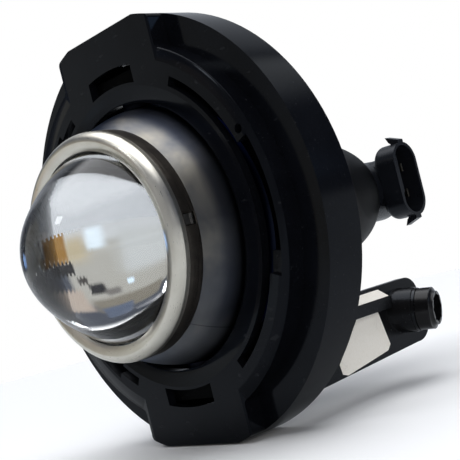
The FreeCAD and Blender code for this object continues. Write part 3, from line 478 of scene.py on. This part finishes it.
def nickel_finish():
    """Rolled nickel plate: warm, satin, with faint rolling marks and tarnish."""
    g = Finish("nickel")
    tarnish = g.noise(g.place, 55, 5, 0.6, 0.5)
    g.set(Base_Color=g.ramp(tarnish, (0.3, (0.62, 0.585, 0.50)), (0.7, (0.80, 0.77, 0.69))),
          Metallic=1.0)
    along = g.noise(g.moved((1, 14, 1)), 420, 3, 0.6)
    g.set(Roughness=g.remap(along, 0.3, 0.7, 0.27, 0.36))
    g.bump(along, 0.12)
    g.bump(g.noise(g.place, 70, 2, 0.5), 0.15, 0.0002)
    return g.material


def lens_finish():
    """Pressed glass: a fluted rim, fine ribs on the flat back and a trace of haze."""
    g = Finish("lens_glass")
    across, along, up = g.lamp_axes()
    g.set(Base_Color=g.ramp(g.noise(g.place, 40, 2), (0.3, (0.955, 0.965, 0.965)),
                            (0.7, (0.975, 0.985, 0.985))))
    g.set(Transmission_Weight=1.0, IOR=1.49)
    g.set(Roughness=g.remap(g.noise(g.place, 260, 3), 0.5, 0.8, 0.0, 0.012))
    flat = g.remap(along, LENS_BACK - 0.0003, LENS_BACK - 0.0002, 0, 1)
    tooth = g.math("SIGN", g.math("SINE", g.math("MULTIPLY", across, math.tau / RIB_PITCH)))
    ribs = g.math("MULTIPLY", g.math("MULTIPLY", tooth, up), flat)
    g.bump(ribs, 1.0, 0.006)
    edge = g.remap(g.hypot(across, up), LENS_RIM - 0.0016, LENS_RIM - 0.0012, 0, 1)
    flutes = g.math("SINE", g.math("MULTIPLY", g.math("ARCTAN2", up, across), FLUTES))
    g.bump(g.math("MULTIPLY", flutes, edge), 0.6, 0.0003)
    return g.material


def quartz_finish():
    """Clear drawn quartz with a very faint surface wave."""
    g = Finish("bulb_quartz")
    g.set(Base_Color=g.ramp(g.noise(g.place, 40, 2), (0.3, (0.985, 0.985, 0.97515)),
                            (0.7, (1, 1, 0.99))))
    g.set(Transmission_Weight=1.0, IOR=1.46)
    g.set(Roughness=g.remap(g.noise(g.place, 300, 3), 0.45, 0.8, 0.0, 0.02))
    g.bump(g.noise(g.place, 30, 1), 0.05, 0.0002)
    return g.material


def label_finish():
    """Blank matt label stock: paper fibre and a few scuffs."""
    g = Finish("label_stock")
    fibre = g.noise(g.moved((1, 3, 1)), 1500, 4, 0.7)
    tone = g.ramp(fibre, (0.3, (0.88, 0.83, 0.74)), (0.7, (0.97, 0.93, 0.86)))
    scuff = g.remap(g.noise(g.place, 160, 5, 0.7, 1.0), 0.6, 0.78, 0, 0.35)
    g.set(Base_Color=g.mix(scuff, tone, (0.40, 0.38, 0.34)))
    g.set(Roughness=g.remap(fibre, 0.3, 0.7, 0.5, 0.65))
    g.bump(fibre, 0.3, 0.00004)
    return g.material


BLACK = moulded("housing_black", (0.0026, 0.003, 0.0044), 0.13, ior=1.2, lips=True)
ARM_BLACK = moulded("arm_black", (0.0045, 0.0045, 0.0048), 0.24, grain=0.2)
# Black plastic that is darker than the housing's and reflects little, as painted shade for the
# parts inside the housing.
BRACKET_BLACK_PAINTED_SHADE = moulded("bracket_black", (0.0009, 0.0009, 0.001), 0.5, grain=0.3, ior=1.08)
SOCKET_BLACK = moulded("socket_black", (0.0055, 0.0063, 0.0085), 0.28, grain=0.2, ior=1.36)
COLLAR = moulded("collar_black", (0.0045, 0.0045, 0.005), 0.22, grain=0.2, ior=1.36)
SPIN = JOINTS["adjuster_spin"]
KNOB = screw_finish(Vector(SPIN["pos_m"]), Vector(SPIN["axis"]))
ACETAL = moulded("acetal", (0.55, 0.54, 0.5), 0.35, 0.08)
RUBBER = moulded("seal_rubber", (0.02, 0.02, 0.02), 0.6, grain=0.4)
DOME = dome_finish()
SPRING = metal("spring_steel", (0.34, 0.33, 0.31), (0.2, 0.19, 0.18), 0.3, (8, 1, 1), 0.2)
ZINC = metal("zinc", (0.5, 0.49, 0.46), (0.33, 0.32, 0.3), 0.34)
SHIELD = metal("shield_steel", (0.16, 0.12, 0.09), (0.06, 0.045, 0.035), 0.32)
SILVER = metal("reflector_silver", (0.9, 0.9, 0.88), (0.8, 0.8, 0.78), 0.07, scratch=0.04)
TIN = metal("terminal_tin", (0.2, 0.18, 0.14), (0.12, 0.11, 0.09), 0.35)
CAP = metal("cap_metal", (0.7, 0.69, 0.67), (0.55, 0.54, 0.52), 0.25)
TUNGSTEN = metal("tungsten", (0.35, 0.34, 0.33), (0.25, 0.24, 0.23), 0.3)
BOWL, BAND, NICKEL = bowl_finish(), band_finish(), nickel_finish()
LENS, QUARTZ, LABEL = lens_finish(), quartz_finish(), label_finish()

FINISHES = {
    "outer_housing": BLACK, "rear_arm": ARM_BLACK, "arm_screws": ZINC, "info_label": LABEL,
    "pivot_bracket_upper": BRACKET_BLACK_PAINTED_SHADE, "pivot_bracket_lower": BRACKET_BLACK_PAINTED_SHADE, "bracket_screws": ZINC,
    "pivot_bushes": ACETAL, "adjuster_bush": COLLAR, "back_ring": BRACKET_BLACK_PAINTED_SHADE,
    "back_ring_screws": ZINC, "bowl_shell": BOWL, "lens_holder": BAND, "lens_clip": SPRING,
    "lens_seal": RUBBER, "lens": LENS, "lens_ring": NICKEL, "cutoff_shield": SHIELD,
    "shield_rivets": SHIELD, "reflector": SILVER, "rear_housing": DOME, "housing_screws": ZINC,
    "pivot_pins": SPRING, "adjuster_fork": BRACKET_BLACK_PAINTED_SHADE, "fork_screw": ZINC,
    "bulb_base": SOCKET_BLACK, "bulb_seal": RUBBER, "bulb_terminals": TIN, "bulb_cap": CAP,
    "bulb_glass": QUARTZ, "bulb_leads": TUNGSTEN, "bulb_filament": TUNGSTEN,
    "adjuster_screw": KNOB, "retaining_clip": SPRING, "adjuster_nut": ACETAL,
}
for node, finish in FINISHES.items():
    thing = frame["nodes"][node]
    thing.data.materials.clear()
    thing.data.materials.append(finish)

# ---------------------------------------------------------------- rounded edges

# Width of the rounding on each node's sharp edges, in metres.
EDGES = {
    "outer_housing": 0.0006, "rear_arm": 0.0004, "bulb_base": 0.0002, "back_ring": 0.0003,
    "pivot_bracket_upper": 0.0004, "pivot_bracket_lower": 0.0004, "adjuster_fork": 0.0003,
    "lens_holder": 0.00015, "lens_clip": 0.0001, "bulb_terminals": 0.0001,
}


def round_edges(thing, width):
    """Rounds the sharp edges as the mould or the press does, so that they catch the light."""
    weld = thing.modifiers.new("weld", "WELD")
    weld.merge_threshold = 0.00001
    flatten = thing.modifiers.new("flatten", "DECIMATE")
    flatten.decimate_type = "DISSOLVE"
    flatten.angle_limit = math.radians(0.4)
    bevel = thing.modifiers.new("round", "BEVEL")
    bevel.width = width
    bevel.segments = 2
    bevel.limit_method = "ANGLE"
    bevel.angle_limit = math.radians(32)
    bevel.harden_normals = True
    bevel.use_clamp_overlap = True
    even = thing.modifiers.new("even", "WEIGHTED_NORMAL")
    even.keep_sharp = False


for node, width in EDGES.items():
    round_edges(frame["nodes"][node], width)
